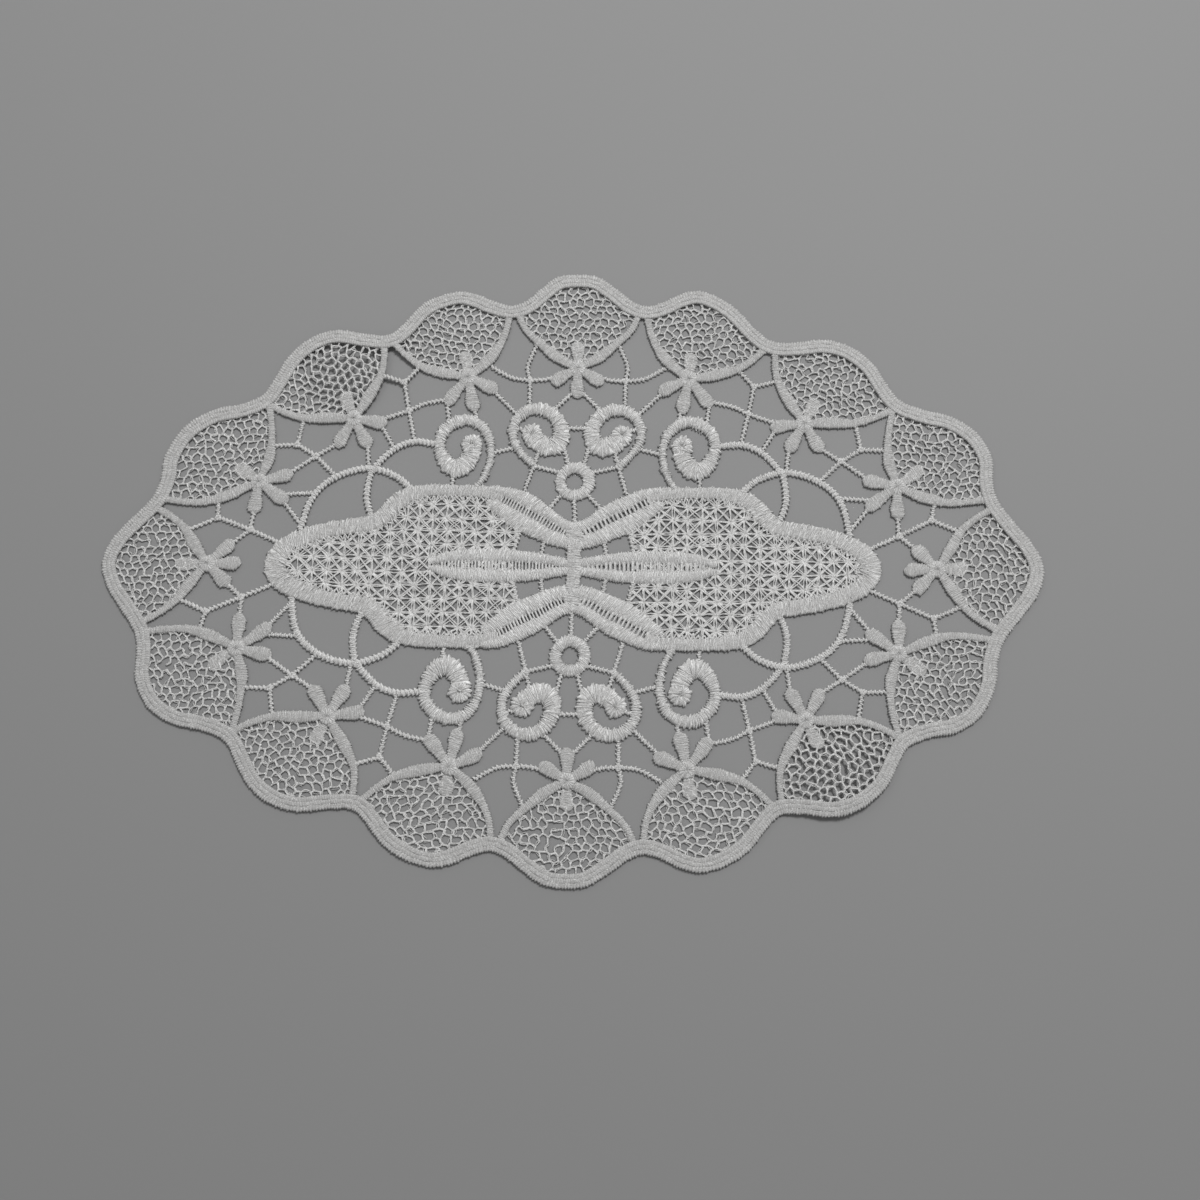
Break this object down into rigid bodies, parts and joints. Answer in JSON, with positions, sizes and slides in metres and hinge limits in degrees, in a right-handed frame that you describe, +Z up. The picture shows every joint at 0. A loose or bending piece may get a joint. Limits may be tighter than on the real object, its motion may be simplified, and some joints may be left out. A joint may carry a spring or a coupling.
{
  "type": "lace doily",
  "caption": "Oval machine-embroidered lace doily with a scalloped rim, net-filled scallops, small flowers, scrolls and a long medallion with leaves, lying flat.",
  "frame": {"origin": "middle of the oval on the surface that the doily lies on", "axes": "+Z up out of the surface, +X along the oval's long way, +Y along its short way"},
  "size_m": [0.2256, 0.1504, 0.0031],
  "materials": {
    "white_thread": "soft satin thread"
  },
  "bodies": {
    "root": {"lace_doily": "white_thread"}
  },
  "joints": []
}
